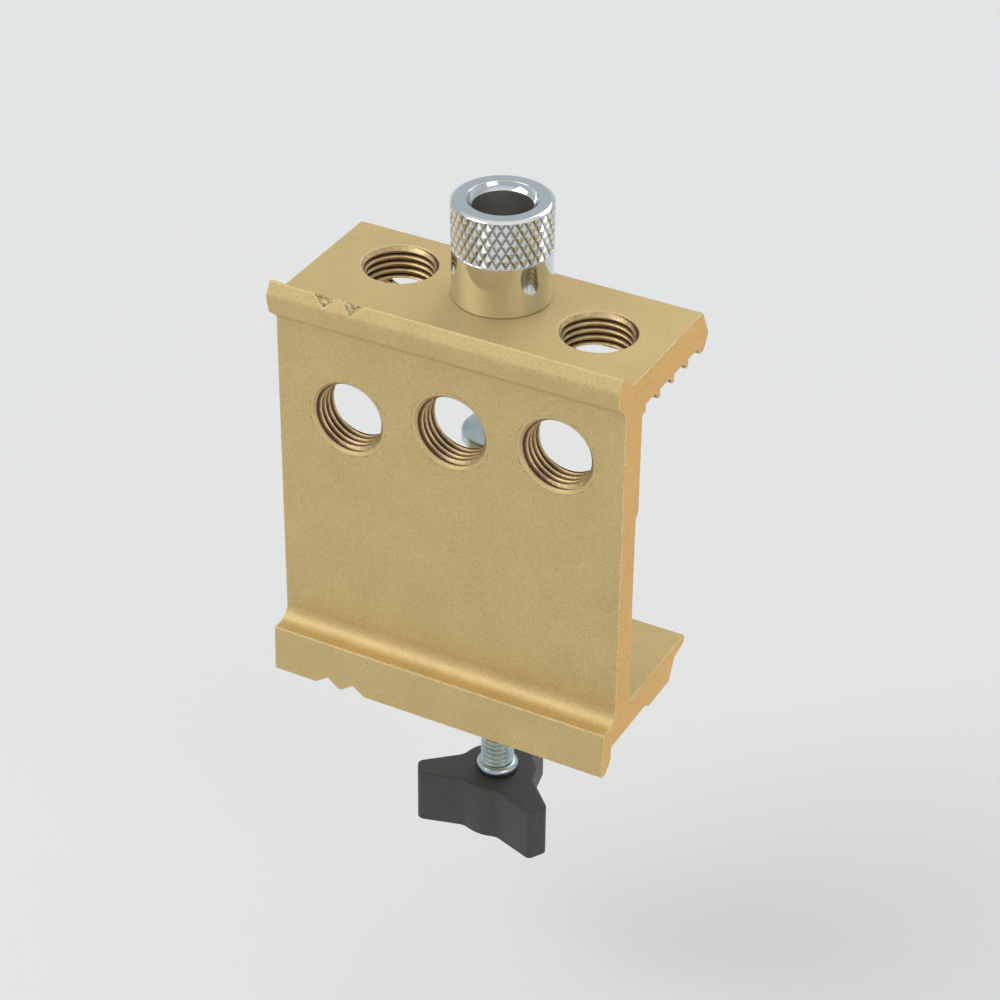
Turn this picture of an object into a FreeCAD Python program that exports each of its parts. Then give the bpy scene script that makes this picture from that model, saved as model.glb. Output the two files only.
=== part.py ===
"""Doweling jig: an extruded aluminium clamp body with tapped guide holes,
a knurled drill bush and a winged clamp screw with a swivel pad.

Units are millimetres. The origin is where the axis of the middle guide hole
meets the flat top of the jaw. X runs along the body, Y from the front plate
towards the back of the jaw, and Z up.
"""
import FreeCAD, Part
import math
import os

Vector = FreeCAD.Vector

# Body as a saw-cut length of one extruded section
body_length = 63.0
row_shift = 0.5              # hole rows, right of the body's own middle

# Guide holes, tapped for the drill bushes
hole_pitch = 19.05
hole_diameter = 12.7
top_hole_depths = (17.75, 17.35, 14.1)     # from the plate's front face, left to right
board_sizes = (25.4, 19.0, 16.0)           # boards that the front holes are centred on
top_hole_chamfer = 0.2
front_hole_chamfer = 0.4

# Jaw, with saw teeth underneath that bite on the board
jaw_thickness = 7.4          # flat top to the tips of the teeth
jaw_depth = 29.9             # plate front to the nose at the back
jaw_nose_height = 2.6        # nose above the tooth tips
jaw_nose_overhang = 2.5      # nose beyond the back edge of the flat top
jaw_foot_inset = 1.5         # back edge of the underside, in from the nose
tooth_count = 4
tooth_pitch = 5.15
tooth_tip = 0.7
tooth_height = 1.4
tooth_slope = 0.8            # run of each tooth's slanted flank
back_land = 1.5              # flat behind the last groove

# Raised strip along the front of the jaw
crest_height = 3.15          # corner of the crest above the flat top
crest_proud = 1.5            # crest in front of the plate
strip_slope = 3.8            # run of the slope from the crest down to the flat top
strip_bulge = 2.95           # fullest part of the strip, in front of the plate
strip_bulge_drop = 2.5       # fullest part below the crest
strip_height = 5.6           # crest to the strip's lower edge
strip_proud = 2.25           # lower edge of the strip, in front of the plate
strip_undercut = 1.9         # height of the slope below the strip

# Front plate, thicker where it guides the drill
plate_thick = 5.8
plate_thin = 4.9
thick_length = 18.0          # thick part, down from the tooth tips
throat_height = 55.5         # tooth tips to the lower flange

# Ledge and lip along the foot of the plate
ledge_drop = 1.0             # ledge below the top of the flange
cove_radius = 2.6
lip_proud = 4.5
lip_height = 8.6             # ledge to the bottom of the lip
lip_lean = 0.3               # lip's top edge, back from its bottom edge
lip_thickness = 3.3
lip_bevel = 1.8

# Lower flange, with a thicker band that holds the clamp screw
flange_depth = 26.5          # from the plate's front face
flange_thickness = 5.3
boss_drop = 1.0              # band below the rest of the underside
boss_ahead = 4.4             # band's front edge ahead of the screw
boss_behind = 3.5            # band's back edge behind the screw
tail_run = 1.9               # slope from the band up to the thin tail
tail_thickness = 2.5
tail_edge = 1.45             # thickness at the very back

# Pairs of V notches in both lips, over the left hole of each row
notch_pitch = 5.0
notch_width = 4.9
crest_notch_depth = 2.05
lip_notch_depth = 1.7

# Small radii of the extruded section
crisp = 0.3
soft = 0.8

# Drill bush
bush_bore = 10.0
bush_head_diameter = 16.56
bush_head_height = 17.3
bush_knurl_start = 8.9       # smooth collar below the knurled grip
bush_knurl_rise = 0.05       # grip stands this far proud of the collar
bush_rim = 1.0               # rim of the head, eased in two bevels
bush_foot_break = 0.25
bush_mouth_diameter = 11.6
bush_mouth_depth = 1.4
bush_shank_inset = 0.4       # shank ends this far above the tooth tips
bush_undercut = 0.7          # height and depth of the thread relief
bush_shank_break = 0.5
thread_clearance = 0.05      # radial, between screwed parts and their holes

# Clamp screw
screw_diameter = 6.0
screw_hole_chamfer = 0.3
screw_length = 69.95         # top of the button to the top of the knob
button_diameter = 4.8
button_height = 1.8
neck_diameter = 3.2
neck_height = 1.9
button_break = 0.3
collar_diameter = 7.5
collar_height = 1.9
collar_radius = 1.0          # rounding of the collar's upper edge
collar_break = 0.3
root_flats = 5.8             # hexagon root moulded into the knob
root_length = 7.5
moulding_gap = 0.02

# Swivel pad on the end of the screw
pad_diameter = 13.0
pad_height = 5.0
pad_rim = 1.6
pad_taper = 1.2              # height of the cone from the rim to the sleeve
pad_sleeve_diameter = 8.0
pad_roof = 1.6
pad_play = 0.08              # around the button and its neck
pad_end_play = 0.04          # between the button's top and the pad
pad_break = 0.3

# Knob
knob_height = 10.8
knob_hub_diameter = 14.0
knob_reach = 14.2            # axis to the end of each wing
wing_count = 3
wing_tip = 3.8
wing_root = 7.6
wing_turn = 208.6            # direction of the first wing, from +X
wing_corner_radius = 1.2
wing_valley_radius = 3.0
knob_edge_radius = 0.5       # round the top
knob_foot_break = 0.4        # round the underside

# Board thickness held at rest, as the clamp is drawn
board_held = 18.15

# Places that follow from the sizes
tips_z = -jaw_thickness
plate_y = -top_hole_depths[1]
left_x = -body_length / 2 - row_shift
flange_top_z = tips_z - throat_height
ledge_z = flange_top_z - ledge_drop
lip_bottom_z = ledge_z - lip_height
crest_z = crest_height
pad_top_z = tips_z - board_held
button_top_z = pad_top_z - pad_roof - pad_end_play
knob_top_z = button_top_z - screw_length
column_x = (-hole_pitch, 0.0, hole_pitch)


def rounded_outline(corners, place):
    """Closed wire through (a, b, radius) corners, each rounded to its radius.

    place turns a corner's a and b into a point in space.
    """
    flat = [Vector(a, b, 0) for a, b, radius in corners]
    count = len(corners)
    joints = []
    for index, (a, b, radius) in enumerate(corners):
        here = flat[index]
        back = (flat[index - 1] - here)
        ahead = (flat[(index + 1) % count] - here)
        back.normalize()
        ahead.normalize()
        half = back.getAngle(ahead) / 2
        if radius <= 0 or abs(half - math.pi / 2) < 1e-6:
            joints.append((here, None, here))
            continue
        reach = radius / math.tan(half)
        middle = back + ahead
        middle.normalize()
        through = here + middle * (radius / math.sin(half) - radius)
        joints.append((here + back * reach, through, here + ahead * reach))
    edges = []
    for index, (start, through, end) in enumerate(joints):
        if through is not None:
            arc = Part.Arc(place(start), place(through), place(end))
            edges.append(arc.toShape())
        following = joints[(index + 1) % count][0]
        if end.distanceToPoint(following) > 1e-6:
            edges.append(Part.LineSegment(place(end), place(following)).toShape())
    return Part.Wire(edges)


def revolved(profile):
    """Solid of (radius, z, corner radius) corners turned about the upright axis."""
    wire = rounded_outline(profile, lambda p: Vector(p.x, 0, p.y))
    return Part.Face(wire).revolve(Vector(0, 0, 0), Vector(0, 0, 1), 360)


def upright_cylinder(diameter, bottom, top, x=0.0, y=0.0):
    return Part.makeCylinder(diameter / 2, top - bottom, Vector(x, y, bottom))


def jaw_teeth():
    """Corners of the underside of the jaw from back to front, as saw-tooth grooves."""
    corners = []
    back_edge = jaw_depth - jaw_foot_inset - back_land
    groove = tooth_pitch - tooth_tip
    for number in range(tooth_count):
        mouth_back = back_edge - number * tooth_pitch
        mouth_front = mouth_back - groove
        corners += [
            (mouth_back, tips_z, 0),
            (mouth_back - tooth_slope, tips_z + tooth_height, 0),
            (mouth_front, tips_z + tooth_height, 0),
            (mouth_front, tips_z, 0),
        ]
    return corners


def body_section():
    """Corners of the extruded section as (depth behind the plate's front, z, radius)."""
    step = plate_thick - plate_thin
    step_z = tips_z - thick_length
    underside_z = flange_top_z - flange_thickness
    boss_z = underside_z - boss_drop
    screw_depth = top_hole_depths[1]
    boss_front = screw_depth - boss_ahead
    boss_back = screw_depth + boss_behind
    lip_back = lip_thickness - lip_proud
    jaw_and_teeth = [
        (jaw_depth - jaw_nose_overhang, 0, crisp),
        (jaw_depth, tips_z + jaw_nose_height, soft),
        (jaw_depth - jaw_foot_inset, tips_z, crisp),
    ] + jaw_teeth()
    plate_inside = [
        (plate_thick, tips_z, crisp),
        (plate_thick, step_z, crisp),
        (plate_thin, step_z - step, crisp),
        (plate_thin, flange_top_z, crisp),
    ]
    lower_flange = [
        (flange_depth, flange_top_z, crisp),
        (flange_depth, flange_top_z - tail_edge, crisp),
        (boss_back + tail_run, flange_top_z - tail_thickness, soft),
        (boss_back, boss_z, crisp),
        (boss_front, boss_z, 0),
        (boss_front - boss_drop, underside_z, 0),
    ]
    foot_lip = [
        (lip_back, underside_z, crisp),
        (lip_back, lip_bottom_z + lip_bevel, soft),
        (lip_back - lip_bevel, lip_bottom_z, soft),
        (-lip_proud, lip_bottom_z, crisp),
        (lip_lean - lip_proud, ledge_z, crisp),
        (0, ledge_z, cove_radius),
    ]
    strip_low_z = crest_z - strip_height
    front_strip = [
        (0, strip_low_z - strip_undercut, soft),
        (-strip_proud, strip_low_z, crisp),
        (-strip_bulge, crest_z - strip_bulge_drop, 2 * soft),
        (-crest_proud, crest_z, crisp),
        (strip_slope - crest_proud, 0, crisp),
    ]
    return jaw_and_teeth + plate_inside + lower_flange + foot_lip + front_strip


def guide_hole_cutters():
    """Drills and chamfers for the tapped guide holes, three through the jaw, three through the plate."""
    cutters = []
    radius = hole_diameter / 2
    for x, depth in zip(column_x, top_hole_depths):
        y = plate_y + depth
        cutters.append(upright_cylinder(hole_diameter, tips_z - 1, 1, x, y))
        cutters.append(Part.makeCone(radius, radius + 2 * top_hole_chamfer, 2 * top_hole_chamfer,
                                     Vector(x, y, -top_hole_chamfer)))
    inward = Vector(0, 1, 0)
    for x, board in zip(column_x, board_sizes):
        z = tips_z - board / 2
        cutters.append(Part.makeCylinder(radius, plate_thick + 2, Vector(x, plate_y - 1, z), inward))
        cutters.append(Part.makeCone(radius + 2 * front_hole_chamfer, radius, 2 * front_hole_chamfer,
                                     Vector(x, plate_y - front_hole_chamfer, z), inward))
    return cutters


def screw_hole_cutters():
    radius = screw_diameter / 2
    top = flange_top_z
    bottom = flange_top_z - flange_thickness - boss_drop
    chamfer = screw_hole_chamfer
    drill = upright_cylinder(screw_diameter, bottom - 1, top + 1)
    above = Part.makeCone(radius, radius + 2 * chamfer, 2 * chamfer, Vector(0, 0, top - chamfer))
    below = Part.makeCone(radius + 2 * chamfer, radius, 2 * chamfer, Vector(0, 0, bottom - chamfer))
    return [drill, above, below]


def notch_cutters():
    """V prisms that mark the left column, two over the crest and two under the foot lip."""
    cutters = []
    front_y = plate_y - lip_proud - strip_bulge
    reach = lip_proud + strip_bulge + plate_thin
    for side in (-0.5, 0.5):
        x = column_x[0] + side * notch_pitch
        for edge_z, depth in ((crest_z, crest_notch_depth), (lip_bottom_z, -lip_notch_depth)):
            clear_z = edge_z + depth
            apex = Vector(x, front_y, edge_z - depth)
            left = Vector(x - notch_width, front_y, clear_z)
            right = Vector(x + notch_width, front_y, clear_z)
            triangle = Part.Face(Part.makePolygon([apex, left, right, apex]))
            cutters.append(triangle.extrude(Vector(0, reach, 0)))
    return cutters


def jig_body():
    outline = rounded_outline(body_section(), lambda p: Vector(left_x, plate_y + p.x, p.y))
    bar = Part.Face(outline).extrude(Vector(body_length, 0, 0))
    cutters = guide_hole_cutters() + screw_hole_cutters() + notch_cutters()
    return bar.cut(cutters)


def guide_bush():
    """Bush with a smooth collar, a knurled grip and a shank that fills the middle guide hole."""
    bore = bush_bore / 2
    mouth = bush_mouth_diameter / 2
    collar = bush_head_diameter / 2
    grip = collar + bush_knurl_rise
    shank = hole_diameter / 2 - thread_clearance
    shank_end = tips_z + bush_shank_inset
    relief = shank - bush_undercut
    eased = bush_rim * (1 - math.sqrt(0.5))
    return revolved([
        (bore, shank_end, 0),
        (shank - bush_shank_break, shank_end, 0),
        (shank, shank_end + bush_shank_break, 0),
        (shank, -bush_undercut, 0),
        (relief, -bush_undercut / 2, 0),
        (relief, 0, 0),
        (collar - bush_foot_break, 0, 0),
        (collar, bush_foot_break, 0),
        (collar, bush_knurl_start, 0),
        (grip, bush_knurl_start + bush_knurl_rise, 0),
        (grip, bush_head_height - bush_rim, 0),
        (grip - eased, bush_head_height - eased, 0),
        (grip - bush_rim, bush_head_height, 0),
        (mouth, bush_head_height, 0),
        (bore, bush_head_height - bush_mouth_depth, 0),
    ])


def hexagon(across_flats, bottom, height):
    corner = across_flats / math.sqrt(3)
    points = []
    for number in range(7):
        angle = number * math.pi / 3
        points.append(Vector(corner * math.cos(angle), corner * math.sin(angle), bottom))
    return Part.Face(Part.makePolygon(points)).extrude(Vector(0, 0, height))


def clamp_stud():
    """Screw with a button for the pad on top and a rounded collar above its hexagon root."""
    outer = screw_diameter / 2 - thread_clearance
    neck = neck_diameter / 2
    button = button_diameter / 2
    collar = collar_diameter / 2
    button_foot = button_top_z - button_height
    neck_foot = button_foot - neck_height
    shoulder = outer - neck
    turned = revolved([
        (0, button_top_z, 0),
        (button - button_break, button_top_z, 0),
        (button, button_top_z - button_break, 0),
        (button, button_foot, 0),
        (neck, button_foot, 0),
        (neck, neck_foot, 0),
        (outer, neck_foot - shoulder, 0),
        (outer, knob_top_z + collar_height, 0),
        (collar, knob_top_z + collar_height, collar_radius),
        (collar, knob_top_z + collar_break, 0),
        (collar - collar_break, knob_top_z, 0),
        (0, knob_top_z, 0),
    ])
    root = hexagon(root_flats, knob_top_z - root_length, root_length)
    return turned.fuse(root).removeSplitter()


def pressure_pad():
    """Round swivel pad, closed over the button at the screw's end."""
    rim = pad_diameter / 2
    sleeve = pad_sleeve_diameter / 2
    bottom = pad_top_z - pad_height
    cavity = button_diameter / 2 + pad_play
    throat = neck_diameter / 2 + pad_play
    cavity_top = button_top_z + pad_end_play
    cavity_foot = button_top_z - button_height - pad_play
    return revolved([
        (0, pad_top_z, 0),
        (rim - pad_break, pad_top_z, 0),
        (rim, pad_top_z - pad_break, 0),
        (rim, pad_top_z - pad_rim, 0),
        (sleeve, pad_top_z - pad_rim - pad_taper, 0),
        (sleeve, bottom + pad_break, 0),
        (sleeve - pad_break, bottom, 0),
        (throat, bottom, 0),
        (throat, cavity_foot, 0),
        (cavity, cavity_foot, 0),
        (cavity, cavity_top, 0),
        (0, cavity_top, 0),
    ])


def wing(turn):
    """One tapered wing of the knob, from inside the hub out to its flat end."""
    bottom = knob_top_z - knob_height
    hub = knob_hub_diameter / 2
    root_reach = math.sqrt(hub ** 2 - (wing_root / 2) ** 2)
    flare = (wing_root - wing_tip) / 2 / (knob_reach - root_reach)
    half_at_axis = wing_root / 2 + flare * root_reach
    corners = [(0, -half_at_axis), (knob_reach, -wing_tip / 2),
               (knob_reach, wing_tip / 2), (0, half_at_axis)]
    points = []
    for along, across in corners + corners[:1]:
        x = along * math.cos(turn) - across * math.sin(turn)
        y = along * math.sin(turn) + across * math.cos(turn)
        points.append(Vector(x, y, bottom))
    return Part.Face(Part.makePolygon(points)).extrude(Vector(0, 0, knob_height))


def upright_edges(solid, nearest, farthest):
    """Straight upright edges of a solid that lie between two distances from the axis."""
    found = []
    for edge in solid.Edges:
        top, foot = edge.Vertexes[0].Point, edge.Vertexes[-1].Point
        same_place = math.hypot(top.x - foot.x, top.y - foot.y) < 1e-6
        distance = math.hypot(top.x, top.y)
        if same_place and abs(top.z - foot.z) > 1e-3 and nearest < distance < farthest:
            found.append(edge)
    return found


def level_edges(solid, z):
    """Edges of a solid that lie flat at one height."""
    found = []
    for edge in solid.Edges:
        if all(abs(vertex.Z - z) < 1e-6 for vertex in edge.Vertexes):
            found.append(edge)
    return found


def clamp_knob():
    """Hub with tapered wings, all edges softened, and a pocket for the screw's root."""
    bottom = knob_top_z - knob_height
    hub = knob_hub_diameter / 2
    knob = upright_cylinder(knob_hub_diameter, bottom, knob_top_z)
    knob.rotate(Vector(0, 0, 0), Vector(0, 0, 1), wing_turn)
    wings = []
    for number in range(wing_count):
        wings.append(wing(math.radians(wing_turn + number * 360 / wing_count)))
    knob = knob.fuse(wings).removeSplitter()
    halfway = (hub + knob_reach) / 2
    knob = knob.makeFillet(wing_corner_radius, upright_edges(knob, halfway, knob_reach * 2))
    knob = knob.makeFillet(wing_valley_radius, upright_edges(knob, 0, halfway))
    knob = knob.makeFillet(knob_edge_radius, level_edges(knob, knob_top_z))
    knob = knob.makeChamfer(knob_foot_break, level_edges(knob, bottom))
    pocket = hexagon(root_flats + 2 * moulding_gap, knob_top_z - root_length - moulding_gap,
                     root_length + moulding_gap)
    return knob.cut(pocket)


def export(name, shape):
    solid = shape.Solids[0]
    if len(shape.Solids) != 1 or not solid.isValid():
        raise ValueError(name + " is not one sound solid")
    solid.exportStep("parts/" + name + ".step")
    box = solid.BoundBox
    print(f"{name}: {solid.Volume:.1f} mm3, z {box.ZMin:.2f} to {box.ZMax:.2f}")


def main():
    os.makedirs("parts", exist_ok=True)
    export("jig_body", jig_body())
    export("guide_bush", guide_bush())
    export("clamp_stud", clamp_stud())
    export("pressure_pad", pressure_pad())
    export("clamp_knob", clamp_knob())
    travel_up = board_held
    travel_down = throat_height - board_held - pad_height
    print(f"pad travel: {travel_up:.2f} mm up, {travel_down:.2f} mm down")
    print(f"bush shank: {-(tips_z + bush_shank_inset):.2f} mm")


main()
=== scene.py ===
"""Doweling jig: a gold anodised clamp body with tapped guide holes, a bright knurled drill bush,
and a zinc-plated clamp screw with a swivel pad and a black winged knob.

Pieces are shaped in millimetres and brought to metres when they are finished. The frame's origin is
where the middle guide hole's axis meets the flat top of the jaw; X runs along the body, Y from the
front plate to the back of the jaw, Z up.
"""

import math

import bpy
from mathutils import Matrix, Vector


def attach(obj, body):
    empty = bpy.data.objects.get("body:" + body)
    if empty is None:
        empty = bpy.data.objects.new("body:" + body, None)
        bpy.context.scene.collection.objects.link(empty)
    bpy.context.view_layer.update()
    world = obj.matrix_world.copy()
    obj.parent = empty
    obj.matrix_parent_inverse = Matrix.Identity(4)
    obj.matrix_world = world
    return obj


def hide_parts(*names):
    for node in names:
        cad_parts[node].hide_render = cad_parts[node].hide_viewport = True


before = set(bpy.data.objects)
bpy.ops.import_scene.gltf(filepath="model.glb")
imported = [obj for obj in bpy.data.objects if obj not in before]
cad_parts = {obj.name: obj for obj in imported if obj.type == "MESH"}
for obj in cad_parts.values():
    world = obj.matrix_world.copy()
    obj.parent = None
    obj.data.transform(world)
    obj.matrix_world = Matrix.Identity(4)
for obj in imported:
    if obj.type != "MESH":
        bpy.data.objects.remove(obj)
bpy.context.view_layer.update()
bpy.ops.object.select_all(action="DESELECT")

MM = 0.001
FULL_TURN = 2 * math.pi
MERGE = 0.0001               # points nearer than this, in millimetres, are one

# Body, as in the solid model
PLATE_FRONT = -17.35
PLATE_BACK = -11.55
JAW_TIPS = -7.4
GROOVE_ROOF = -6.0
GROOVE_MOUTH = 4.45
TOOTH_PITCH = 5.15
FIRST_GROOVE = -10.3
GROOVES = 4
GROOVE_REACH = 8             # along the body, to each side of a hole
TOP_HOLES = ((-19.05, 0.4), (0.0, 0.0), (19.05, -3.25))
FRONT_HOLES = ((-19.05, -20.1), (0.0, -16.9), (19.05, -15.4))

# Guide thread, 20 turns to 25.4 mm
GUIDE_PITCH = 1.27
GUIDE_MAJOR = 6.35
GUIDE_MINOR = 5.66
TOP_CHAMFER = 6.55
FRONT_CHAMFER = 6.75
SCUFF_RING = 7.15
SPOILED_CORNER = (20, PLATE_FRONT, -44)
CHAMFER_TONE = 0.2           # 0 is as pale as a crest
CHAMFER_SAG = 0.02           # keeps the cut off the body's own chamfer

# Thread ridges; a crest's flat is a share of the pitch
FLANK_SLOPE = math.tan(math.radians(30))
RIDGE_BURIED = 0.12          # how far a ridge starts inside the metal
CREST_ROUND = 0.05
HOLE_CREST_FLAT = 0.13
BUSH_CREST_FLAT = 0.16
SCREW_CREST_FLAT = 0.2

# Share of a notch wall's facing that is sideways: it rises as far as it runs, more or less
NOTCH_WALL = 0.66
# The holes' chamfers slope as much, so notch walls are taken only above and below this band
HOLES_MIDDLE = -30
HOLES_HALF = 30.3

# Drill bush
BORE = 5.0
MOUTH = 5.8
MOUTH_DEPTH = 1.4
LIP_WIDTH = 0.11
COLLAR = 8.28
COLLAR_ROUND = 0.25
GRIP = 8.33
GRIP_START = 8.9
GRIP_END = 16.95
HEAD_TOP = 17.3
RIM_RADIUS = 1.2
RIM_WIDTH = 0.85
SHANK_END = -7.0
SHANK_CREST = 6.3
SHANK_ROOT = 5.6
SHANK_NECK = 0.7             # plain, between the thread and the collar
KNURL_ROUND = 34
KNURL_ROWS = 3
KNURL_DEPTH = 0.4
KNURL_FLANK = 0.72           # share of a diamond's half width that slopes
KNURL_MERGE = 0.02
KNURL_INSIDE = 0.9           # the band's hidden inner wall, as a share of its valleys' radius

# Clamp screw
SCREW_PITCH = 1.0
SCREW_CREST = 2.95
SCREW_ROOT = 2.42
HOLE_MAJOR = 3.0
HOLE_MINOR = 2.5
HOLE_CHAMFER = 3.3
BUTTON_TOP = -27.19
BUTTON_FOOT = -28.99
NECK_FOOT = -30.89
NECK = 1.6
BUTTON = 2.4
BUTTON_ROUND = 0.3
KNOB_TOP = -97.14
SCREW_COLLAR = 3.75
SCREW_COLLAR_TOP = -95.24
ROOT_CORNER = 3.34
ROOT_LENGTH = 7.5
ROOT_GAP = 0.02              # under the collar
STUB = 0.3                   # of the rod, inside the hexagon
FLANGE_TOP = -62.9
BOSS_FOOT = -69.2

FLOOR_HEIGHT = -0.145        # metres
CAMERA_PLACE = (0.19845, -0.37527, 0.24355)
CAMERA_TURN = (("Z", 27.87), ("X", 90 - 33.74), ("Z", 0.57))
LENS = 109.28


def linear(code):
    """Linear RGBA of an sRGB hex colour."""
    values = []
    for start in (1, 3, 5):
        value = int(code[start:start + 2], 16) / 255
        values.append(value / 12.92 if value <= 0.04045 else ((value + 0.055) / 1.055) ** 2.4)
    return (*values, 1.0)


# ---- Shaping

def take(obj):
    bpy.ops.object.select_all(action="DESELECT")
    obj.select_set(True)
    bpy.context.view_layer.objects.active = obj


def turned(outline, steps=96):
    """A shape turned on the upright axis from an outline of (radius, height) points."""
    bpy.ops.mesh.primitive_plane_add(size=1)
    obj = bpy.context.object
    bpy.ops.object.mode_set(mode="EDIT")
    bpy.ops.mesh.select_all(action="SELECT")
    bpy.ops.mesh.merge(type="CENTER")
    last = Vector((0, 0, 0))
    for number, (radius, height) in enumerate(outline):
        point = Vector((radius, 0, height))
        if number:
            bpy.ops.mesh.extrude_region_move(TRANSFORM_OT_translate={"value": point - last})
        else:
            bpy.ops.transform.translate(value=point)
        last = point
    bpy.ops.mesh.select_all(action="SELECT")
    bpy.ops.mesh.spin(steps=steps, angle=FULL_TURN, center=(0, 0, 0), axis=(0, 0, 1))
    bpy.ops.mesh.select_all(action="SELECT")
    bpy.ops.mesh.remove_doubles(threshold=0.001)
    bpy.ops.mesh.normals_make_consistent(inside=False)
    bpy.ops.object.mode_set(mode="OBJECT")
    return obj


def arc(centre, radius, start, end, count=6):
    """Points of an arc in an outline, between two angles in degrees."""
    points = []
    for number in range(count + 1):
        angle = math.radians(start + (end - start) * number / count)
        points.append((centre[0] + radius * math.cos(angle), centre[1] + radius * math.sin(angle)))
    return points


def helix(section, pitch, low, high, steps=64):
    """A right-hand ridge with a section of (radius, height) points, wound from low to high."""
    turns = math.ceil((high - low) / pitch) + 2
    bpy.ops.mesh.primitive_circle_add(vertices=len(section), radius=1)
    obj = bpy.context.object
    for vertex, (radius, height) in zip(obj.data.vertices, section):
        vertex.co = (radius, 0, low - pitch + height)
    winding = obj.modifiers.new("Turns", "SCREW")
    winding.axis = "Z"
    winding.angle = FULL_TURN
    winding.screw_offset = pitch
    winding.iterations = turns
    winding.steps = steps
    winding.render_steps = steps
    winding.use_merge_vertices = True
    winding.merge_threshold = 0.0005
    bpy.ops.object.modifier_apply(modifier=winding.name)
    bpy.ops.object.mode_set(mode="EDIT")
    bpy.ops.mesh.select_all(action="SELECT")
    bpy.ops.mesh.fill_holes(sides=0)
    bpy.ops.mesh.select_all(action="SELECT")
    bpy.ops.mesh.normals_make_consistent(inside=False)
    bpy.ops.object.mode_set(mode="OBJECT")
    return obj


def combine(obj, other, operation):
    """Joins, cuts or keeps the common part of two closed shapes, and uses the second up."""
    step = obj.modifiers.new("Combine", "BOOLEAN")
    step.solver = "EXACT"
    step.operation = operation
    step.object = other
    take(obj)
    bpy.ops.object.modifier_apply(modifier=step.name)
    bpy.data.objects.remove(other)
    return obj


def box(low, high):
    size = Vector(high) - Vector(low)
    bpy.ops.mesh.primitive_cube_add(size=1, location=(Vector(low) + Vector(high)) / 2, scale=size)
    bpy.ops.object.transform_apply(location=True, rotation=True, scale=True)
    return bpy.context.object


def finished(obj, name, material, body, sharp=32):
    """Names a piece, brings it to metres, smooths it, and hangs it on its body."""
    obj.name = name
    obj.data.name = name
    take(obj)
    bpy.ops.object.mode_set(mode="EDIT")
    bpy.ops.mesh.select_all(action="SELECT")
    bpy.ops.mesh.remove_doubles(threshold=MERGE)
    bpy.ops.mesh.dissolve_degenerate(threshold=MERGE)
    bpy.ops.mesh.normals_make_consistent(inside=False)
    bpy.ops.object.mode_set(mode="OBJECT")
    obj.scale = (MM, MM, MM)
    bpy.ops.object.transform_apply(location=True, rotation=True, scale=True)
    bpy.ops.object.shade_smooth_by_angle(angle=math.radians(sharp))
    obj.data.materials.clear()
    obj.data.materials.append(material)
    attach(obj, body)
    return obj


# ---- Materials

def waves(size):
    """Texture scale that gives a pattern of this size in millimetres."""
    return 1 / (size * MM)


def add_node(material, kind, settings=None, inputs=None):
    """Adds a node with its settings; an input is a value or another node's output."""
    node = material.node_tree.nodes.new(kind)
    for name, value in (settings or {}).items():
        setattr(node, name, value)
    for name, value in (inputs or {}).items():
        if isinstance(value, bpy.types.NodeSocket):
            material.node_tree.links.new(value, node.inputs[name])
        else:
            node.inputs[name].default_value = value
    return node


def new_material(name):
    material = bpy.data.materials.new(name)
    material.use_nodes = True
    material.node_tree.nodes.clear()
    return material


def close_material(material, shader):
    output = add_node(material, "ShaderNodeOutputMaterial")
    material.node_tree.links.new(shader.outputs[0], output.inputs["Surface"])
    return material


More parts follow.
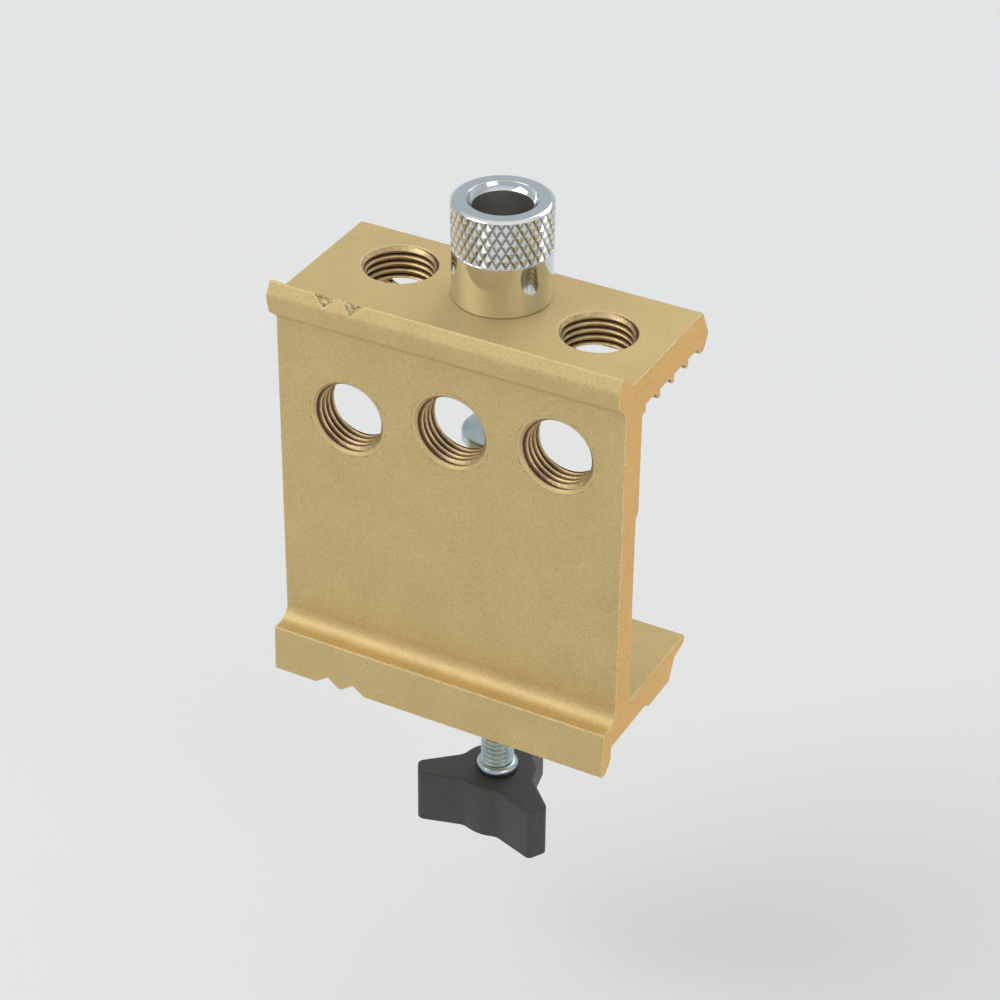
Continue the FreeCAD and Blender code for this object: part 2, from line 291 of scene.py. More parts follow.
def gold_aluminium():
    """Anodised aluminium, bead-blasted: an even satin gold, fine sparkle and small dark pits."""
    m = new_material("gold_anodised_aluminium")
    place = add_node(m, "ShaderNodeTexCoord").outputs["Object"]
    axes = add_node(m, "ShaderNodeSeparateXYZ", None, {"Vector": place})
    # blasting leaves dimples 0.2 to 0.3 mm wide
    grain = add_node(m, "ShaderNodeTexNoise", None,
                     {"Vector": place, "Scale": waves(0.278), "Detail": 2.5, "Roughness": 0.65})
    tone = add_node(m, "ShaderNodeValToRGB", None, {"Fac": grain.outputs["Fac"]})
    tone.color_ramp.elements[0].position = 0.32
    tone.color_ramp.elements[0].color = linear("#CFB781")
    tone.color_ramp.elements[1].position = 0.66
    tone.color_ramp.elements[1].color = linear("#DFC894")
    # the dye takes a little unevenly, over 10 mm or so
    cloud = add_node(m, "ShaderNodeTexNoise", None,
                     {"Vector": place, "Scale": waves(9.09), "Detail": 3.0, "Roughness": 0.6})
    shade = add_node(m, "ShaderNodeMapRange", None,
                     {"Value": cloud.outputs["Fac"], "From Min": 0.3, "From Max": 0.7,
                      "To Min": 0.93, "To Max": 1.0})
    dyed = add_node(m, "ShaderNodeVectorMath", {"operation": "SCALE"},
                    {"Vector": tone.outputs["Color"], "Scale": shade.outputs[0]})
    # pits of 0.1 to 0.3 mm, most of them low on the right of the plate and along the front strip;
    # the strip's larger share of pits is also painted shade that darkens it
    cells = add_node(m, "ShaderNodeTexVoronoi", None,
                     {"Vector": place, "Scale": waves(0.476), "Randomness": 1.0})
    pit = add_node(m, "ShaderNodeMapRange", None,
                   {"Value": cells.outputs["Distance"], "From Min": 0.12, "From Max": 0.3,
                    "To Min": 1.0, "To Max": 0.0})
    chosen = add_node(m, "ShaderNodeSeparateColor", None, {"Color": cells.outputs["Color"]})
    corner = add_node(m, "ShaderNodeVectorMath", {"operation": "DISTANCE"},
                      {0: place, 1: Vector(SPOILED_CORNER) * MM})
    spoiled = add_node(m, "ShaderNodeMapRange", None,
                       {"Value": corner.outputs["Value"], "From Min": 4 * MM, "From Max": 24 * MM,
                        "To Min": 0.5, "To Max": 0.03})
    # painted shade: the front strip gets extra dark pits to darken it
    strip = add_node(m, "ShaderNodeMapRange", None,
                     {"Value": axes.outputs["Z"], "From Min": -5.2 * MM, "From Max": -4.2 * MM,
                      "To Min": 0.0, "To Max": 0.45})
    ahead = add_node(m, "ShaderNodeMapRange", None,
                     {"Value": axes.outputs["Y"], "From Min": -16.8 * MM, "From Max": -17.2 * MM,
                      "To Min": 0.0, "To Max": 1.0})
    strip_pits_and_shade = add_node(m, "ShaderNodeMath", {"operation": "MULTIPLY"},
                        {0: strip.outputs[0], 1: ahead.outputs[0]})
    share = add_node(m, "ShaderNodeMath", {"operation": "ADD"},
                     {0: spoiled.outputs[0], 1: strip_pits_and_shade.outputs[0]})
    opened = add_node(m, "ShaderNodeMath", {"operation": "LESS_THAN"},
                      {0: chosen.outputs["Red"], 1: share.outputs[0]})
    pits_and_strip_shade = add_node(m, "ShaderNodeMath", {"operation": "MULTIPLY"},
                      {0: pit.outputs[0], 1: opened.outputs[0]})
    faint = add_node(m, "ShaderNodeMath", {"operation": "MULTIPLY"},
                     {0: pits_and_strip_shade.outputs[0], 1: 0.38})
    colour = add_node(m, "ShaderNodeMix", {"data_type": "RGBA"},
                      {0: faint.outputs[0], 6: dyed.outputs["Vector"], 7: linear("#6E5C3C")})
    # rubbed corners and nicks show pale bare metal; every edge also gets at least a faint pale
    # line, a painted highlight
    rounded = add_node(m, "ShaderNodeBevel", {"samples": 6}, {"Radius": 0.26 * MM})
    surface = add_node(m, "ShaderNodeNewGeometry")
    match = add_node(m, "ShaderNodeVectorMath", {"operation": "DOT_PRODUCT"},
                     {0: rounded.outputs["Normal"], 1: surface.outputs["Normal"]})
    edge = add_node(m, "ShaderNodeMapRange", None,
                    {"Value": match.outputs["Value"], "From Min": 0.9, "From Max": 0.99,
                     "To Min": 1.0, "To Max": 0.0})
    nick = add_node(m, "ShaderNodeTexNoise", None,
                    {"Vector": place, "Scale": waves(1.43), "Detail": 4.0, "Roughness": 0.7})
    wear_and_highlight_share = add_node(m, "ShaderNodeMapRange", None,
                      {"Value": nick.outputs["Fac"], "From Min": 0.4, "From Max": 0.54,
                       "To Min": 0.3, "To Max": 1.0})
    edge_wear_and_highlight = add_node(m, "ShaderNodeMath", {"operation": "MULTIPLY"},
                         {0: edge.outputs[0], 1: wear_and_highlight_share.outputs[0]})
    # the ends are saw-cut; a warmer, brighter tint on them is a painted reflection of warm bounced
    # light
    sideways = add_node(m, "ShaderNodeSeparateXYZ", None, {"Vector": surface.outputs["Normal"]})
    steep = add_node(m, "ShaderNodeMath", {"operation": "ABSOLUTE"}, {0: sideways.outputs["X"]})
    end_face_reflection_mask = add_node(m, "ShaderNodeMapRange", None,
                    {"Value": steep.outputs[0], "From Min": 0.9, "From Max": 0.95,
                     "To Min": 0.0, "To Max": 1.0})
    # painted reflection: the end faces are tinted warm and brightened
    ends_with_painted_reflection = add_node(m, "ShaderNodeMix", {"data_type": "RGBA", "blend_type": "MULTIPLY"},
                      {0: end_face_reflection_mask.outputs[0], 6: colour.outputs[2], 7: (1.27, 1.06, 0.85, 1.0)})
    # the notches were filed, so their walls are bare in places and dark in others; walls that face
    # right are darker still, as painted shade
    slanting = add_node(m, "ShaderNodeMath", {"operation": "COMPARE"},
                        {0: steep.outputs[0], 1: NOTCH_WALL, 2: 0.1})
    among_holes = add_node(m, "ShaderNodeMath", {"operation": "COMPARE"},
                           {0: axes.outputs["Z"], 1: HOLES_MIDDLE * MM, 2: HOLES_HALF * MM})
    filed = add_node(m, "ShaderNodeMath", {"operation": "SUBTRACT", "use_clamp": True},
                     {0: slanting.outputs[0], 1: among_holes.outputs[0]})
    marks = add_node(m, "ShaderNodeTexNoise", None,
                     {"Vector": place, "Scale": waves(0.667), "Detail": 3.0, "Roughness": 0.6})
    # painted shade: notch walls that face right are darkened
    file_marks_and_right_shade = add_node(m, "ShaderNodeMath", {"operation": "MULTIPLY_ADD"},
                           {0: sideways.outputs["X"], 1: -0.1, 2: marks.outputs["Fac"]})
    filed_tone_and_shade = add_node(m, "ShaderNodeValToRGB", None, {"Fac": file_marks_and_right_shade.outputs[0]})
    filed_tone_and_shade.color_ramp.elements[0].position = 0.3
    filed_tone_and_shade.color_ramp.elements[0].color = linear("#96794A")
    filed_tone_and_shade.color_ramp.elements[1].position = 0.58
    filed_tone_and_shade.color_ramp.elements[1].color = linear("#E3D4A2")
    notched = add_node(m, "ShaderNodeMix", {"data_type": "RGBA"},
                       {0: filed.outputs[0], 6: ends_with_painted_reflection.outputs[2], 7: filed_tone_and_shade.outputs["Color"]})
    # wear and painted highlight: pale metal along the edges
    metal = add_node(m, "ShaderNodeMix", {"data_type": "RGBA"},
                     {0: edge_wear_and_highlight.outputs[0], 6: notched.outputs[2], 7: linear("#F4EBCB")})
    # the drill's collar has scuffed a thin broken ring round each front hole
    flat = add_node(m, "ShaderNodeVectorMath", {"operation": "MULTIPLY"}, {0: place, 1: (1, 0, 1)})
    nearest = None
    for x, z in FRONT_HOLES:
        away = add_node(m, "ShaderNodeVectorMath", {"operation": "DISTANCE"},
                        {0: flat.outputs["Vector"], 1: (x * MM, 0, z * MM)}).outputs["Value"]
        if nearest is None:
            nearest = away
        else:
            nearest = add_node(m, "ShaderNodeMath", {"operation": "MINIMUM"},
                               {0: nearest, 1: away}).outputs[0]
    ring = add_node(m, "ShaderNodeMath", {"operation": "COMPARE"},
                    {0: nearest, 1: SCUFF_RING * MM, 2: 0.09 * MM})
    broken = add_node(m, "ShaderNodeMapRange", None,
                      {"Value": nick.outputs["Fac"], "From Min": 0.5, "From Max": 0.6,
                       "To Min": 0.0, "To Max": 0.55})
    scuffed = add_node(m, "ShaderNodeMath", {"operation": "MULTIPLY"},
                       {0: ring.outputs[0], 1: broken.outputs[0]})
    on_plate = add_node(m, "ShaderNodeMath", {"operation": "MULTIPLY"},
                        {0: scuffed.outputs[0], 1: ahead.outputs[0]})
    worn = add_node(m, "ShaderNodeMix", {"data_type": "RGBA"},
                    {0: on_plate.outputs[0], 6: metal.outputs[2], 7: linear("#7A6540")})
    height = add_node(m, "ShaderNodeMath", {"operation": "SUBTRACT"},
                      {0: grain.outputs["Fac"], 1: pits_and_strip_shade.outputs[0]})
    bump = add_node(m, "ShaderNodeBump", None,
                    {"Strength": 0.3, "Distance": 0.03 * MM, "Height": height.outputs[0],
                     "Normal": rounded.outputs["Normal"]})
    shader = add_node(m, "ShaderNodeBsdfPrincipled", None,
                      {"Base Color": worn.outputs[2], "Metallic": 1.0, "Roughness": 0.62,
                       "Normal": bump.outputs["Normal"]})
    return close_material(m, shader)


def tapped_gold():
    """The same aluminium where the tap has cut it: pale crests, and painted shade darkening the
    flanks to dark brown at the roots.
    """
    m = new_material("tapped_gold_aluminium")
    place = add_node(m, "ShaderNodeTexCoord").outputs["Object"]
    grain = add_node(m, "ShaderNodeTexNoise", None,
                     {"Vector": place, "Scale": waves(0.556), "Detail": 3.0})
    depth = add_node(m, "ShaderNodeAttribute", {"attribute_name": "depth"})
    # painted shade: the deeper between the ridges, the darker
    depth_shade_with_grain = add_node(m, "ShaderNodeMath", {"operation": "MULTIPLY_ADD"},
                      {0: grain.outputs["Fac"], 1: 0.4, 2: depth.outputs["Fac"]})
    tone = add_node(m, "ShaderNodeValToRGB", None, {"Fac": depth_shade_with_grain.outputs[0]})
    tone.color_ramp.elements[0].position = 0.28
    tone.color_ramp.elements[0].color = linear("#DDC793")
    tone.color_ramp.elements[1].position = 1.0
    tone.color_ramp.elements[1].color = linear("#4E3834")
    flank_shade = tone.color_ramp.elements.new(0.6)
    flank_shade.color = linear("#89694C")
    bump = add_node(m, "ShaderNodeBump", None,
                    {"Strength": 0.3, "Distance": 0.03 * MM, "Height": grain.outputs["Fac"]})
    shader = add_node(m, "ShaderNodeBsdfPrincipled", None,
                      {"Base Color": tone.outputs["Color"], "Metallic": 1.0, "Roughness": 0.46,
                       "Normal": bump.outputs["Normal"]})
    return close_material(m, shader)


def chromed_steel():
    """Steel, turned, knurled and chromed: a near mirror with a faint ripple from polishing."""
    m = new_material("chromed_steel")
    place = add_node(m, "ShaderNodeTexCoord").outputs["Object"]
    ripple = add_node(m, "ShaderNodeTexNoise", None,
                      {"Vector": place, "Scale": waves(3.85), "Detail": 2.0})
    haze = add_node(m, "ShaderNodeTexNoise", None,
                    {"Vector": place, "Scale": waves(1.11), "Detail": 4.0})
    rough = add_node(m, "ShaderNodeMapRange", None,
                     {"Value": haze.outputs["Fac"], "From Min": 0.3, "From Max": 0.7,
                      "To Min": 0.07, "To Max": 0.14})
    bump = add_node(m, "ShaderNodeBump", None,
                    {"Strength": 0.15, "Distance": 0.05 * MM, "Height": ripple.outputs["Fac"]})
    # distance from the bush's axis tells the reamed bore and the knurl's valleys apart
    level = add_node(m, "ShaderNodeVectorMath", {"operation": "MULTIPLY"}, {0: place, 1: (1, 1, 0)})
    radius = add_node(m, "ShaderNodeVectorMath", {"operation": "LENGTH"},
                      {0: level.outputs["Vector"]})
    bore = add_node(m, "ShaderNodeMapRange", None,
                    {"Value": radius.outputs["Value"], "From Min": (BORE + 0.02) * MM,
                     "From Max": (BORE + 0.06) * MM, "To Min": 1.0, "To Max": 0.0})
    valley = add_node(m, "ShaderNodeMapRange", None,
                      {"Value": radius.outputs["Value"], "From Min": (GRIP - KNURL_DEPTH) * MM,
                       "From Max": (GRIP - 0.18) * MM, "To Min": 1.0, "To Max": 0.0})
    height = add_node(m, "ShaderNodeSeparateXYZ", None, {"Vector": place})
    knurled = add_node(m, "ShaderNodeMath", {"operation": "COMPARE"},
                       {0: height.outputs["Z"], 1: (GRIP_START + GRIP_END) / 2 * MM,
                        2: (GRIP_END - GRIP_START) / 2 * MM})
    outside = add_node(m, "ShaderNodeMath", {"operation": "GREATER_THAN"},
                       {0: radius.outputs["Value"], 1: MOUTH * 1.2 * MM})
    gripped = add_node(m, "ShaderNodeMath", {"operation": "MULTIPLY"},
                       {0: knurled.outputs[0], 1: outside.outputs[0]})
    # the knurl is darker in its valleys
    valley_darkening = add_node(m, "ShaderNodeMath", {"operation": "MULTIPLY"},
                     {0: valley.outputs[0], 1: gripped.outputs[0]})
    knurl_valleys_darker = add_node(m, "ShaderNodeMix", {"data_type": "RGBA"},
                      {0: valley_darkening.outputs[0], 6: linear("#D8DBDC"), 7: linear("#A39E90")})
    tone = add_node(m, "ShaderNodeMix", {"data_type": "RGBA"},
                    {0: bore.outputs[0], 6: knurl_valleys_darker.outputs[2], 7: linear("#C4C1BD")})
    reamed = add_node(m, "ShaderNodeMix", {"data_type": "FLOAT"},
                      {0: bore.outputs[0], 2: rough.outputs[0], 3: 0.42})
    shader = add_node(m, "ShaderNodeBsdfPrincipled", None,
                      {"Base Color": tone.outputs[2], "Metallic": 1.0,
                       "Roughness": reamed.outputs[0], "Normal": bump.outputs["Normal"]})
    return close_material(m, shader)


def zinc_plate():
    """Zinc-plated steel: bluish silver, slightly milky, with patches of faint yellow."""
    m = new_material("zinc_plated_steel")
    place = add_node(m, "ShaderNodeTexCoord").outputs["Object"]
    patches = add_node(m, "ShaderNodeTexNoise", None,
                       {"Vector": place, "Scale": waves(2.22), "Detail": 3.0})
    tone = add_node(m, "ShaderNodeValToRGB", None, {"Fac": patches.outputs["Fac"]})
    tone.color_ramp.elements[0].position = 0.35
    tone.color_ramp.elements[0].color = linear("#A9BEC6")
    tone.color_ramp.elements[1].position = 0.68
    tone.color_ramp.elements[1].color = linear("#CDD2CC")
    fine = add_node(m, "ShaderNodeTexNoise", None,
                    {"Vector": place, "Scale": waves(0.2), "Detail": 2.0})
    bump = add_node(m, "ShaderNodeBump", None,
                    {"Strength": 0.2, "Distance": 0.02 * MM, "Height": fine.outputs["Fac"]})
    shader = add_node(m, "ShaderNodeBsdfPrincipled", None,
                      {"Base Color": tone.outputs["Color"], "Metallic": 1.0, "Roughness": 0.27,
                       "Normal": bump.outputs["Normal"]})
    return close_material(m, shader)


def moulded_black():
    """Glass-filled nylon, moulded: near black, matt, with a fine leathery grain."""
    m = new_material("moulded_black_nylon")
    place = add_node(m, "ShaderNodeTexCoord").outputs["Object"]
    grain = add_node(m, "ShaderNodeTexNoise", None,
                     {"Vector": place, "Scale": waves(0.385), "Detail": 3.0, "Roughness": 0.55})
    tone = add_node(m, "ShaderNodeValToRGB", None, {"Fac": grain.outputs["Fac"]})
    tone.color_ramp.elements[0].position = 0.3
    tone.color_ramp.elements[0].color = linear("#343332")
    tone.color_ramp.elements[1].position = 0.75
    tone.color_ramp.elements[1].color = linear("#434240")
    rounded = add_node(m, "ShaderNodeBevel", {"samples": 6}, {"Radius": 0.25 * MM})
    bump = add_node(m, "ShaderNodeBump", None,
                    {"Strength": 0.35, "Distance": 0.04 * MM, "Height": grain.outputs["Fac"],
                     "Normal": rounded.outputs["Normal"]})
    shader = add_node(m, "ShaderNodeBsdfPrincipled", None,
                      {"Base Color": tone.outputs["Color"], "Roughness": 0.52, "IOR": 1.53,
                       "Normal": bump.outputs["Normal"]})
    return close_material(m, shader)


GOLD = gold_aluminium()
TAPPED_GOLD = tapped_gold()
CHROME = chromed_steel()
ZINC = zinc_plate()
BLACK = moulded_black()


# ---- Tapped threads

def ridge_section(foot, crest, pitch, crest_flat):
    """Section of a 60 degree thread ridge from its foot, just inside the metal, to its crest."""
    outward = 1 if crest > foot else -1
    start = foot - outward * RIDGE_BURIED
    half_crest = pitch * crest_flat / 2
    half_foot = half_crest + abs(crest - start) * FLANK_SLOPE
    shoulder = crest - outward * CREST_ROUND
    half_shoulder = half_crest + CREST_ROUND * FLANK_SLOPE
    half_top = half_crest - CREST_ROUND
    return [(start, -half_foot), (shoulder, -half_shoulder), (crest, -half_top),
            (crest, half_top), (shoulder, half_shoulder), (start, half_foot)]


def tapped(major, minor, pitch, length, mouth):
    """Thread inside a hole whose mouth is at height 0 and which runs down for length.

    mouth is the radius of the 45 degree chamfer at the top face. The depth attribute runs from 0
    at a crest to 1 at a root."""
    ridge = helix(ridge_section(major, minor, pitch, HOLE_CREST_FLAT), pitch, -length, 0)
    # the part kept reaches past the crests and the buried feet
    inner = minor - 0.3
    outer = major + 0.2
    sleeve = turned([(inner, inner - mouth), (outer, outer - mouth - CHAMFER_SAG),
                     (outer, -length), (inner, -length), (inner, inner - mouth)])
    thread = combine(ridge, sleeve, "INTERSECT")
    depth = thread.data.attributes.new("depth", "FLOAT", "POINT")
    for vertex, value in zip(thread.data.vertices, depth.data):
        radius = math.hypot(vertex.co.x, vertex.co.y)
        on_chamfer = abs(vertex.co.z - (radius - mouth)) < 1.5 * CHAMFER_SAG
        value.value = CHAMFER_TONE if on_chamfer else (radius - minor) / (major - minor)
    return thread


def place_mesh(obj, matrix):
    take(obj)
    obj.matrix_world = matrix
    bpy.ops.object.transform_apply(location=True, rotation=True, scale=True)


for side, (x, y) in zip(("left", "middle", "right"), TOP_HOLES):
    thread = tapped(GUIDE_MAJOR, GUIDE_MINOR, GUIDE_PITCH, -JAW_TIPS, TOP_CHAMFER)
    place_mesh(thread, Matrix.Translation((x, y, 0)))
    for number in range(GROOVES):
        front = FIRST_GROOVE + number * TOOTH_PITCH
        groove = box((x - GROOVE_REACH, front, JAW_TIPS - 1),
                     (x + GROOVE_REACH, front + GROOVE_MOUTH, GROOVE_ROOF))
        combine(thread, groove, "DIFFERENCE")
    finished(thread, "top_thread_" + side, TAPPED_GOLD, "frame")

for side, (x, z) in zip(("left", "middle", "right"), FRONT_HOLES):
    thread = tapped(GUIDE_MAJOR, GUIDE_MINOR, GUIDE_PITCH, PLATE_BACK - PLATE_FRONT,
                    FRONT_CHAMFER)
    place_mesh(thread, Matrix.Translation((x, PLATE_FRONT, z))
               @ Matrix.Rotation(math.pi / 2, 4, "X"))
    finished(thread, "front_thread_" + side, TAPPED_GOLD, "frame")

clamp_thread = tapped(HOLE_MAJOR, HOLE_MINOR, SCREW_PITCH, FLANGE_TOP - BOSS_FOOT, HOLE_CHAMFER)
place_mesh(clamp_thread, Matrix.Translation((0, 0, FLANGE_TOP)))
finished(clamp_thread, "clamp_hole_thread", TAPPED_GOLD, "frame")


# ---- Drill bush

def knurl():
    """Band of diamond points: one diamond, copied round and up, cut level and closed inside."""
    valley = GRIP - KNURL_DEPTH
    wide = valley * math.tan(math.pi / KNURL_ROUND)
    tall = (GRIP_END - GRIP_START) / KNURL_ROWS / 2
    bpy.ops.mesh.primitive_circle_add(vertices=4, radius=1, fill_type="NGON",
                                      location=(valley, 0, 0), rotation=(0, math.pi / 2, 0))
    cell = bpy.context.object
    bpy.ops.object.transform_apply(location=True, rotation=True, scale=True)
    bpy.ops.object.mode_set(mode="EDIT")
    bpy.ops.mesh.select_all(action="SELECT")
    bpy.ops.transform.resize(value=(1, wide, tall), center_override=(valley, 0, 0))
    bpy.ops.mesh.inset(thickness=KNURL_FLANK * wide * tall / math.hypot(wide, tall), depth=0)
    bpy.ops.transform.translate(value=(KNURL_DEPTH, 0, 0))
    bpy.ops.object.mode_set(mode="OBJECT")
    cells = []
    for row in range(2 * KNURL_ROWS + 1):
        for number in range(KNURL_ROUND):
            turn = FULL_TURN * (number + (row % 2) / 2) / KNURL_ROUND
            copy = cell.copy()
            copy.data = cell.data.copy()
            bpy.context.collection.objects.link(copy)
            copy.matrix_world = Matrix.Rotation(turn, 4, "Z") @ Matrix.Translation(
                (0, 0, GRIP_START + row * tall))
            cells.append(copy)
    bpy.data.objects.remove(cell)
    bpy.ops.object.select_all(action="DESELECT")
    for copy in cells:
        copy.select_set(True)
    bpy.context.view_layer.objects.active = cells[0]
    bpy.ops.object.join()
    band = bpy.context.object
    bpy.ops.object.transform_apply(location=True, rotation=True, scale=True)
    # the valleys lie on one cylinder, so that neighbours meet
    for vertex in band.data.vertices:
        radius = math.hypot(vertex.co.x, vertex.co.y)
        if radius < valley + KNURL_DEPTH / 2:
            vertex.co.x *= valley / radius
            vertex.co.y *= valley / radius
        elif radius > GRIP:
            vertex.co.x *= GRIP / radius
            vertex.co.y *= GRIP / radius
    bpy.ops.object.mode_set(mode="EDIT")
    bpy.ops.mesh.select_all(action="SELECT")
    bpy.ops.mesh.remove_doubles(threshold=KNURL_MERGE)
    for height, below in ((GRIP_START, True), (GRIP_END, False)):
        bpy.ops.mesh.select_all(action="SELECT")
        bpy.ops.mesh.bisect(plane_co=(0, 0, height), plane_no=(0, 0, 1), clear_inner=below,
                            clear_outer=not below)
    bpy.ops.mesh.select_all(action="DESELECT")
    bpy.ops.mesh.select_non_manifold()
    bpy.ops.mesh.extrude_region_move()
    bpy.ops.transform.resize(value=(KNURL_INSIDE, KNURL_INSIDE, 1), center_override=(0, 0, 0))
    bpy.ops.mesh.bridge_edge_loops()
    bpy.ops.mesh.select_all(action="SELECT")
    bpy.ops.mesh.normals_make_consistent(inside=False)
    bpy.ops.object.mode_set(mode="OBJECT")
    return band


def drill_bush():
    """The bush without its knurl: shank, collar, grip's core, rolled rim, countersink and bore."""
    neck = SHANK_CREST - SHANK_NECK
    core = GRIP - KNURL_DEPTH - 0.05
    bore_edge = BORE + 0.04
    outline = [(BORE, SHANK_END), (SHANK_ROOT, SHANK_END), (SHANK_ROOT, -SHANK_NECK),
               (neck, -SHANK_NECK / 2), (neck, 0)]
    outline += arc((COLLAR - COLLAR_ROUND, COLLAR_ROUND), COLLAR_ROUND, -90, 0, 4)
    outline += [(COLLAR, GRIP_START - 0.12), (COLLAR - 0.1, GRIP_START)]
    outline += [(core, GRIP_START + 0.05), (core, GRIP_END - 0.05), (GRIP, GRIP_END)]
    steepest = math.degrees(math.acos(RIM_WIDTH / RIM_RADIUS))
    outline += arc((GRIP - RIM_WIDTH, HEAD_TOP - RIM_RADIUS), RIM_RADIUS, steepest, 90, 8)
    # narrow steps beside each corner keep the polished faces between them true
    outline += [(GRIP - RIM_WIDTH - 0.08, HEAD_TOP), (MOUTH + 0.2, HEAD_TOP)]
    slope = math.degrees(math.atan2(MOUTH_DEPTH, MOUTH - BORE))
    outline += arc((MOUTH + 0.12, HEAD_TOP - 0.12), 0.12, 90, 90 + slope, 5)
    sink = Vector((BORE - MOUTH, -MOUTH_DEPTH)).normalized()
    lip = HEAD_TOP - MOUTH_DEPTH * (MOUTH - BORE - LIP_WIDTH) / (MOUTH - BORE)
    outline += [(MOUTH + 0.05 + sink.x * 0.25, HEAD_TOP - 0.1 + sink.y * 0.25),
                (BORE + LIP_WIDTH, lip), (bore_edge, lip - 0.05),
                (BORE, lip - 0.12), (BORE, lip - 0.4), (BORE, SHANK_END)]
    bush = turned(outline, 160)

    # the bush's turns lie half a pitch from the turns in the hole
    section = ridge_section(SHANK_ROOT, SHANK_CREST, GUIDE_PITCH, BUSH_CREST_FLAT)
    phase = (JAW_TIPS - SHANK_END + GUIDE_PITCH / 2) % GUIDE_PITCH
    ridge = helix([(r, z + phase) for r, z in section], GUIDE_PITCH, SHANK_END, -0.5)
    inside = BORE + 0.2
    past = SHANK_CREST + 0.1
    chamfer = past - SHANK_ROOT
    limits = turned([(inside, SHANK_END), (SHANK_ROOT, SHANK_END), (past, SHANK_END + chamfer),
                     (past, -SHANK_NECK - 0.2), (SHANK_ROOT, -SHANK_NECK), (inside, -SHANK_NECK),
                     (inside, SHANK_END)])
    return combine(bush, combine(ridge, limits, "INTERSECT"), "UNION")


bush = finished(drill_bush(), "drill_bush", CHROME, "bush", 28)
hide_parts("guide_bush")
finished(knurl(), "bush_knurl", CHROME, "bush", 12)


# ---- Clamp screw

def clamp_screw():
    """Threaded rod with the pad's button above, and a rounded collar and the root below."""
    thread_top = NECK_FOOT - (SCREW_ROOT - NECK)
    outline = [(0, BUTTON_TOP)]
    outline += arc((BUTTON - BUTTON_ROUND, BUTTON_TOP - BUTTON_ROUND), BUTTON_ROUND, 90, 0, 4)
    outline += [(BUTTON, BUTTON_FOOT), (NECK, BUTTON_FOOT), (NECK, NECK_FOOT),
                (SCREW_ROOT, thread_top), (SCREW_ROOT, SCREW_COLLAR_TOP)]
    middle = (SCREW_COLLAR_TOP + KNOB_TOP) / 2
    half = (SCREW_COLLAR_TOP - KNOB_TOP) / 2
    outline += arc((SCREW_COLLAR - half, middle), half, 90, -60, 10)
    outline += [(SCREW_COLLAR - half, KNOB_TOP), (SCREW_ROOT, KNOB_TOP),
                (SCREW_ROOT, KNOB_TOP - STUB), (0, KNOB_TOP - STUB)]
    rod = turned(outline, 64)

    # the screw's turns lie half a pitch from the turns in its hole
    section = ridge_section(SCREW_ROOT, SCREW_CREST, SCREW_PITCH, SCREW_CREST_FLAT)
    phase = (BOSS_FOOT - SCREW_COLLAR_TOP + SCREW_PITCH / 2) % SCREW_PITCH
    ridge = helix([(r, z + phase) for r, z in section], SCREW_PITCH, SCREW_COLLAR_TOP,
                  thread_top, 48)
    inside = NECK - 0.1
    past = SCREW_CREST + 0.1
    start = thread_top - 0.03
    foot = SCREW_COLLAR_TOP - 0.4
    limits = turned([(inside, start), (SCREW_ROOT, start), (past, start - (past - SCREW_ROOT)),
                     (past, foot), (inside, foot), (inside, start)], 60)
    rod = combine(rod, combine(ridge, limits, "INTERSECT"), "UNION")

    bpy.ops.mesh.primitive_cylinder_add(
        vertices=6, radius=ROOT_CORNER, depth=ROOT_LENGTH - ROOT_GAP,
        location=(0, 0, KNOB_TOP - (ROOT_LENGTH + ROOT_GAP) / 2), rotation=(0, 0, math.pi / 6))
    root = bpy.context.object
    bpy.ops.object.transform_apply(location=True, rotation=True, scale=True)
    return combine(rod, root, "UNION")


screw = finished(clamp_screw(), "clamp_screw", ZINC, "screw", 35)
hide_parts("clamp_stud")

for name, material in (("jig_body", GOLD), ("pressure_pad", ZINC), ("clamp_knob", BLACK)):
    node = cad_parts[name]
    node.data.materials.clear()
    node.data.materials.append(material)


# ---- Floor, light and camera

def floor():
    bpy.ops.mesh.primitive_plane_add(size=12, location=(0, 0, FLOOR_HEIGHT))
    plane = bpy.context.object
    plane.name = "floor"
    m = new_material("pale_floor")
    shader = add_node(m, "ShaderNodeBsdfPrincipled", None,
                      {"Base Color": linear("#F4F4F2"), "Roughness": 0.8})
    plane.data.materials.append(close_material(m, shader))


def softbox(name, position, size, power, colour="#FFFFFF"):
    light = bpy.data.lights.new(name, "AREA")
    light.shape = "RECTANGLE"
    light.size, light.size_y = size
    light.energy = power
    light.color = linear(colour)[:3]
    lamp = bpy.data.objects.new(name, light)
    bpy.context.scene.collection.objects.link(lamp)
    lamp.location = position
    aim = Vector((0, 0, -0.03)) - Vector(position)
    lamp.rotation_euler = aim.to_track_quat("-Z", "Y").to_euler()


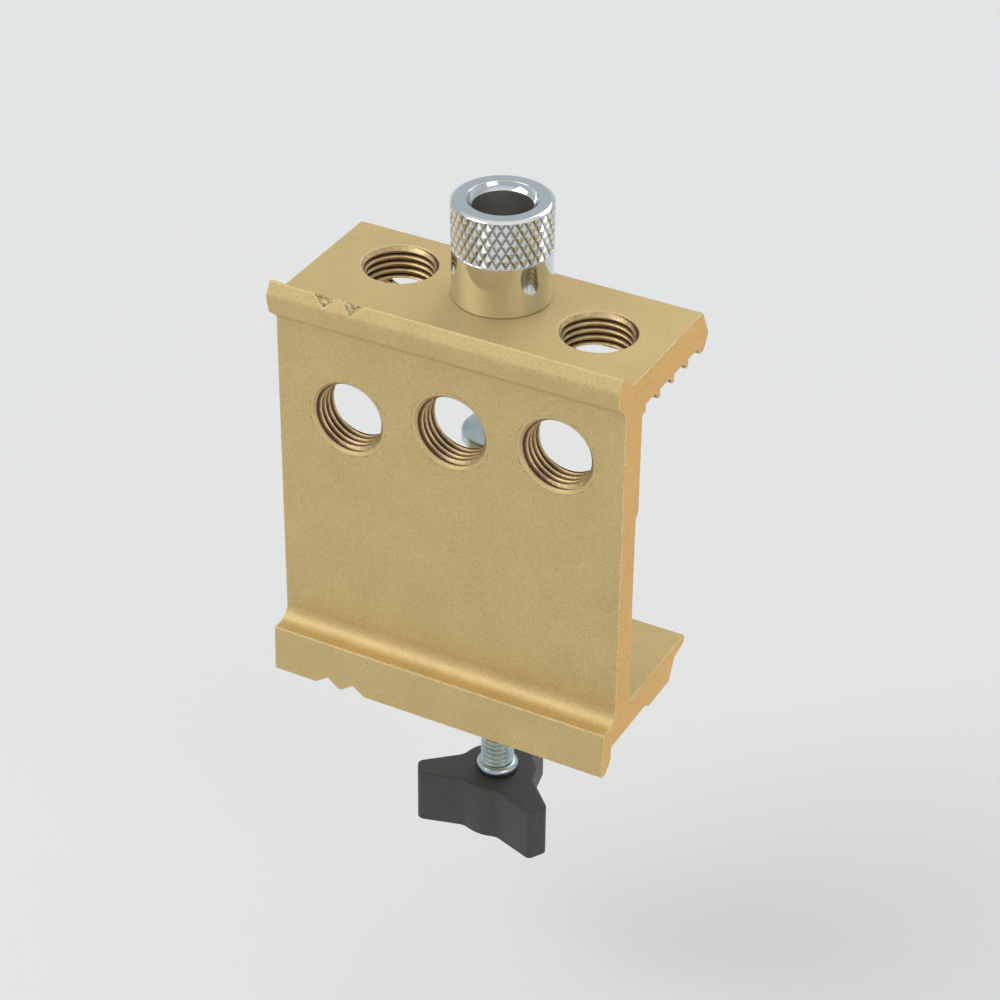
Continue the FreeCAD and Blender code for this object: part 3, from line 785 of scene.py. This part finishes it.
def surroundings():
    world = bpy.data.worlds.new("studio")
    bpy.context.scene.world = world
    world.use_nodes = True
    world.node_tree.nodes.clear()
    upward = add_node(world, "ShaderNodeSeparateXYZ", None,
                      {"Vector": add_node(world, "ShaderNodeTexCoord").outputs["Generated"]})
    # pale walls, a greyer band above them, and a bright ceiling
    sky = add_node(world, "ShaderNodeValToRGB", None, {"Fac": upward.outputs["Z"]})
    sky.color_ramp.elements[0].position = 0.04
    sky.color_ramp.elements[0].color = linear("#EDEEF0")
    sky.color_ramp.elements[1].position = 0.9
    sky.color_ramp.elements[1].color = linear("#FFFFFF")
    for rise, code in ((0.25, "#C6CDD1"), (0.6, "#BCC6CC")):
        sky.color_ramp.elements.new(rise).color = linear(code)
    path = add_node(world, "ShaderNodeLightPath")
    seen = add_node(world, "ShaderNodeMath", {"operation": "MAXIMUM"},
                    {0: path.outputs["Is Camera Ray"], 1: path.outputs["Is Glossy Ray"]})
    strength = add_node(world, "ShaderNodeMapRange", None,
                        {"Value": seen.outputs[0], "To Min": 0.7, "To Max": 1.0})
    back = add_node(world, "ShaderNodeBackground", None,
                    {"Color": sky.outputs["Color"], "Strength": strength.outputs[0]})
    output = add_node(world, "ShaderNodeOutputWorld")
    world.node_tree.links.new(back.outputs[0], output.inputs["Surface"])


def camera():
    data = bpy.data.cameras.new("camera")
    data.sensor_width = 36
    data.lens = LENS
    data.clip_start = 0.01
    eye = bpy.data.objects.new("camera", data)
    bpy.context.scene.collection.objects.link(eye)
    stance = Matrix.Translation(CAMERA_PLACE)
    for axis, angle in CAMERA_TURN:
        stance = stance @ Matrix.Rotation(math.radians(angle), 4, axis)
    eye.matrix_world = stance
    bpy.context.scene.camera = eye


floor()
softbox("key", (-0.9, -0.8, 1.3), (1.1, 1.1), 10)
softbox("fill", (1.4, -0.7, 0.6), (0.9, 0.9), 4)
softbox("back", (0.2, 1.3, 1.1), (1.2, 0.6), 4.5)
surroundings()
camera()
bpy.context.scene.view_settings.view_transform = "Standard"
